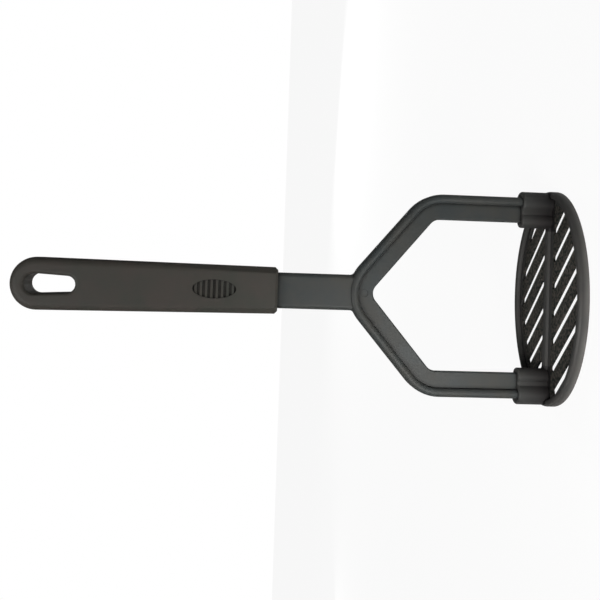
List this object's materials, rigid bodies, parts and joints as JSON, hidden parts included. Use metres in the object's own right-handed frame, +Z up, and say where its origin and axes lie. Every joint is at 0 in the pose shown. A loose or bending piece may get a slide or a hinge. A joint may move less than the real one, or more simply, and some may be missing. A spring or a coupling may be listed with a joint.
{
  "type": "potato masher",
  "caption": "Potato masher with an oval slotted mashing plate, a forked frame and a tapered grip with a hanging slot and a ribbed thumb rest.",
  "frame": {"origin": "on the resting surface, under the middle of the mashing plate", "axes": "+Z up along the handle; +X across the yoke from arm to arm; +Y through the flat of the handle"},
  "size_m": [0.1052, 0.075, 0.2613],
  "materials": {
    "plate_plastic": "satin",
    "frame_plastic": "satin",
    "grip_plastic": "matte"
  },
  "bodies": {
    "root": {"mashing_plate": "plate_plastic", "frame": "frame_plastic", "grip": "grip_plastic"}
  },
  "joints": []
}
